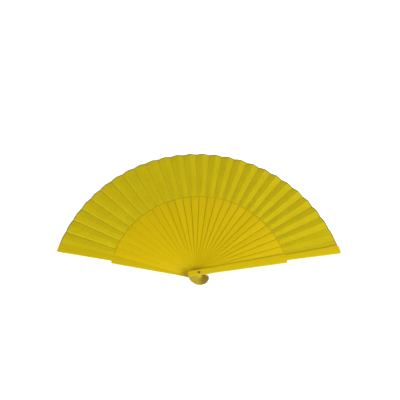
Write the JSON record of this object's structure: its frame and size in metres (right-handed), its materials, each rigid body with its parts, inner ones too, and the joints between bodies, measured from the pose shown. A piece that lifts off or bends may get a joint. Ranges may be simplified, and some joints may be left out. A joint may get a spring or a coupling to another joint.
{
  "type": "folding hand fan",
  "caption": "Folding hand fan: lacquered wooden ribs and guards turn on one pin and spread a pleated cloth leaf.",
  "frame": {"origin": "on the pivot axis, in the underside of the back guard, the face the closed or open fan rests on", "axes": "+Z along the pivot pin towards the front guard, +Y the middle of the open leaf, +X towards the front guard"},
  "size_m": [0.426, 0.2309, 0.0196],
  "materials": {
    "guard_lacquer": "gloss lacquer",
    "rib_lacquer": "gloss lacquer",
    "leaf_cloth": "plain woven",
    "pin_metal": "dull",
    "washer_metal": "satin"
  },
  "bodies": {
    "back_guard": {"back_guard": "guard_lacquer", "pivot_pin": "pin_metal", "back_washer": "washer_metal", "front_washer": "washer_metal", "leaf_pleat_01": "leaf_cloth"},
    "rib_01": {"rib_01": "rib_lacquer", "leaf_pleat_02": "leaf_cloth"},
    "rib_02": {"rib_02": "rib_lacquer", "leaf_pleat_03": "leaf_cloth"},
    "rib_03": {"rib_03": "rib_lacquer", "leaf_pleat_04": "leaf_cloth"},
    "rib_04": {"rib_04": "rib_lacquer", "leaf_pleat_05": "leaf_cloth"},
    "rib_05": {"rib_05": "rib_lacquer", "leaf_pleat_06": "leaf_cloth"},
    "rib_06": {"rib_06": "rib_lacquer", "leaf_pleat_07": "leaf_cloth"},
    "rib_07": {"rib_07": "rib_lacquer", "leaf_pleat_08": "leaf_cloth"},
    "rib_08": {"rib_08": "rib_lacquer", "leaf_pleat_09": "leaf_cloth"},
    "rib_09": {"rib_09": "rib_lacquer", "leaf_pleat_10": "leaf_cloth"},
    "rib_10": {"rib_10": "rib_lacquer", "leaf_pleat_11": "leaf_cloth"},
    "rib_11": {"rib_11": "rib_lacquer", "leaf_pleat_12": "leaf_cloth"},
    "rib_12": {"rib_12": "rib_lacquer", "leaf_pleat_13": "leaf_cloth"},
    "rib_13": {"rib_13": "rib_lacquer", "leaf_pleat_14": "leaf_cloth"},
    "rib_14": {"rib_14": "rib_lacquer", "leaf_pleat_15": "leaf_cloth"},
    "rib_15": {"rib_15": "rib_lacquer", "leaf_pleat_16": "leaf_cloth"},
    "rib_16": {"rib_16": "rib_lacquer", "leaf_pleat_17": "leaf_cloth"},
    "rib_17": {"rib_17": "rib_lacquer", "leaf_pleat_18": "leaf_cloth"},
    "rib_18": {"rib_18": "rib_lacquer", "leaf_pleat_19": "leaf_cloth"},
    "rib_19": {"rib_19": "rib_lacquer", "leaf_pleat_20": "leaf_cloth"},
    "rib_20": {"rib_20": "rib_lacquer", "leaf_pleat_21": "leaf_cloth"},
    "rib_21": {"rib_21": "rib_lacquer", "leaf_pleat_22": "leaf_cloth"},
    "rib_22": {"rib_22": "rib_lacquer", "leaf_pleat_23": "leaf_cloth"},
    "rib_23": {"rib_23": "rib_lacquer", "leaf_pleat_24": "leaf_cloth"},
    "rib_24": {"rib_24": "rib_lacquer", "leaf_pleat_25": "leaf_cloth"},
    "rib_25": {"rib_25": "rib_lacquer", "leaf_pleat_26": "leaf_cloth"},
    "rib_26": {"rib_26": "rib_lacquer", "leaf_pleat_27": "leaf_cloth"},
    "front_guard": {"front_guard": "guard_lacquer", "leaf_end": "leaf_cloth"}
  },
  "joints": [
    {"name": "pivot_01", "type": "hinge", "parent": "back_guard", "child": "rib_01", "pos_m": [0, 0, 0], "axis": [0, 0, 1], "range_deg": [0, 5.88]},
    {"name": "pivot_02", "type": "hinge", "parent": "back_guard", "child": "rib_02", "pos_m": [0, 0, 0], "axis": [0, 0, 1], "range_deg": [0, 11.76]},
    {"name": "pivot_03", "type": "hinge", "parent": "back_guard", "child": "rib_03", "pos_m": [0, 0, 0], "axis": [0, 0, 1], "range_deg": [0, 17.64]},
    {"name": "pivot_04", "type": "hinge", "parent": "back_guard", "child": "rib_04", "pos_m": [0, 0, 0], "axis": [0, 0, 1], "range_deg": [0, 23.52]},
    {"name": "pivot_05", "type": "hinge", "parent": "back_guard", "child": "rib_05", "pos_m": [0, 0, 0], "axis": [0, 0, 1], "range_deg": [0, 29.4]},
    {"name": "pivot_06", "type": "hinge", "parent": "back_guard", "child": "rib_06", "pos_m": [0, 0, 0], "axis": [0, 0, 1], "range_deg": [0, 35.28]},
    {"name": "pivot_07", "type": "hinge", "parent": "back_guard", "child": "rib_07", "pos_m": [0, 0, 0], "axis": [0, 0, 1], "range_deg": [0, 41.16]},
    {"name": "pivot_08", "type": "hinge", "parent": "back_guard", "child": "rib_08", "pos_m": [0, 0, 0], "axis": [0, 0, 1], "range_deg": [0, 47.04]},
    {"name": "pivot_09", "type": "hinge", "parent": "back_guard", "child": "rib_09", "pos_m": [0, 0, 0], "axis": [0, 0, 1], "range_deg": [0, 52.92]},
    {"name": "pivot_10", "type": "hinge", "parent": "back_guard", "child": "rib_10", "pos_m": [0, 0, 0], "axis": [0, 0, 1], "range_deg": [0, 58.8]},
    {"name": "pivot_11", "type": "hinge", "parent": "back_guard", "child": "rib_11", "pos_m": [0, 0, 0], "axis": [0, 0, 1], "range_deg": [0, 64.68]},
    {"name": "pivot_12", "type": "hinge", "parent": "back_guard", "child": "rib_12", "pos_m": [0, 0, 0], "axis": [0, 0, 1], "range_deg": [0, 70.56]},
    {"name": "pivot_13", "type": "hinge", "parent": "back_guard", "child": "rib_13", "pos_m": [0, 0, 0], "axis": [0, 0, 1], "range_deg": [0, 76.44]},
    {"name": "pivot_14", "type": "hinge", "parent": "back_guard", "child": "rib_14", "pos_m": [0, 0, 0], "axis": [0, 0, 1], "range_deg": [0, 82.32]},
    {"name": "pivot_15", "type": "hinge", "parent": "back_guard", "child": "rib_15", "pos_m": [0, 0, 0], "axis": [0, 0, 1], "range_deg": [0, 88.2]},
    {"name": "pivot_16", "type": "hinge", "parent": "back_guard", "child": "rib_16", "pos_m": [0, 0, 0], "axis": [0, 0, 1], "range_deg": [0, 94.08]},
    {"name": "pivot_17", "type": "hinge", "parent": "back_guard", "child": "rib_17", "pos_m": [0, 0, 0], "axis": [0, 0, 1], "range_deg": [0, 99.96]},
    {"name": "pivot_18", "type": "hinge", "parent": "back_guard", "child": "rib_18", "pos_m": [0, 0, 0], "axis": [0, 0, 1], "range_deg": [0, 105.84]},
    {"name": "pivot_19", "type": "hinge", "parent": "back_guard", "child": "rib_19", "pos_m": [0, 0, 0], "axis": [0, 0, 1], "range_deg": [0, 111.72]},
    {"name": "pivot_20", "type": "hinge", "parent": "back_guard", "child": "rib_20", "pos_m": [0, 0, 0], "axis": [0, 0, 1], "range_deg": [0, 117.6]},
    {"name": "pivot_21", "type": "hinge", "parent": "back_guard", "child": "rib_21", "pos_m": [0, 0, 0], "axis": [0, 0, 1], "range_deg": [0, 123.48]},
    {"name": "pivot_22", "type": "hinge", "parent": "back_guard", "child": "rib_22", "pos_m": [0, 0, 0], "axis": [0, 0, 1], "range_deg": [0, 129.36]},
    {"name": "pivot_23", "type": "hinge", "parent": "back_guard", "child": "rib_23", "pos_m": [0, 0, 0], "axis": [0, 0, 1], "range_deg": [0, 135.24]},
    {"name": "pivot_24", "type": "hinge", "parent": "back_guard", "child": "rib_24", "pos_m": [0, 0, 0], "axis": [0, 0, 1], "range_deg": [0, 141.12]},
    {"name": "pivot_25", "type": "hinge", "parent": "back_guard", "child": "rib_25", "pos_m": [0, 0, 0], "axis": [0, 0, 1], "range_deg": [0, 147]},
    {"name": "pivot_26", "type": "hinge", "parent": "back_guard", "child": "rib_26", "pos_m": [0, 0, 0], "axis": [0, 0, 1], "range_deg": [0, 152.88]},
    {"name": "pivot_front", "type": "hinge", "parent": "back_guard", "child": "front_guard", "pos_m": [0, 0, 0], "axis": [0, 0, 1], "range_deg": [0, 158.76]}
  ],
  "couplings": [
    {"joint": "pivot_01", "follows": "pivot_front", "ratio": 0.037037},
    {"joint": "pivot_02", "follows": "pivot_front", "ratio": 0.074074},
    {"joint": "pivot_03", "follows": "pivot_front", "ratio": 0.11111},
    {"joint": "pivot_04", "follows": "pivot_front", "ratio": 0.14815},
    {"joint": "pivot_05", "follows": "pivot_front", "ratio": 0.18518},
    {"joint": "pivot_06", "follows": "pivot_front", "ratio": 0.22222},
    {"joint": "pivot_07", "follows": "pivot_front", "ratio": 0.25926},
    {"joint": "pivot_08", "follows": "pivot_front", "ratio": 0.2963},
    {"joint": "pivot_09", "follows": "pivot_front", "ratio": 0.33333},
    {"joint": "pivot_10", "follows": "pivot_front", "ratio": 0.37037},
    {"joint": "pivot_11", "follows": "pivot_front", "ratio": 0.40741},
    {"joint": "pivot_12", "follows": "pivot_front", "ratio": 0.44444},
    {"joint": "pivot_13", "follows": "pivot_front", "ratio": 0.48148},
    {"joint": "pivot_14", "follows": "pivot_front", "ratio": 0.51852},
    {"joint": "pivot_15", "follows": "pivot_front", "ratio": 0.55556},
    {"joint": "pivot_16", "follows": "pivot_front", "ratio": 0.59259},
    {"joint": "pivot_17", "follows": "pivot_front", "ratio": 0.62963},
    {"joint": "pivot_18", "follows": "pivot_front", "ratio": 0.66667},
    {"joint": "pivot_19", "follows": "pivot_front", "ratio": 0.7037},
    {"joint": "pivot_20", "follows": "pivot_front", "ratio": 0.74074},
    {"joint": "pivot_21", "follows": "pivot_front", "ratio": 0.77778},
    {"joint": "pivot_22", "follows": "pivot_front", "ratio": 0.81481},
    {"joint": "pivot_23", "follows": "pivot_front", "ratio": 0.85185},
    {"joint": "pivot_24", "follows": "pivot_front", "ratio": 0.88889},
    {"joint": "pivot_25", "follows": "pivot_front", "ratio": 0.92593},
    {"joint": "pivot_26", "follows": "pivot_front", "ratio": 0.96296}
  ]
}
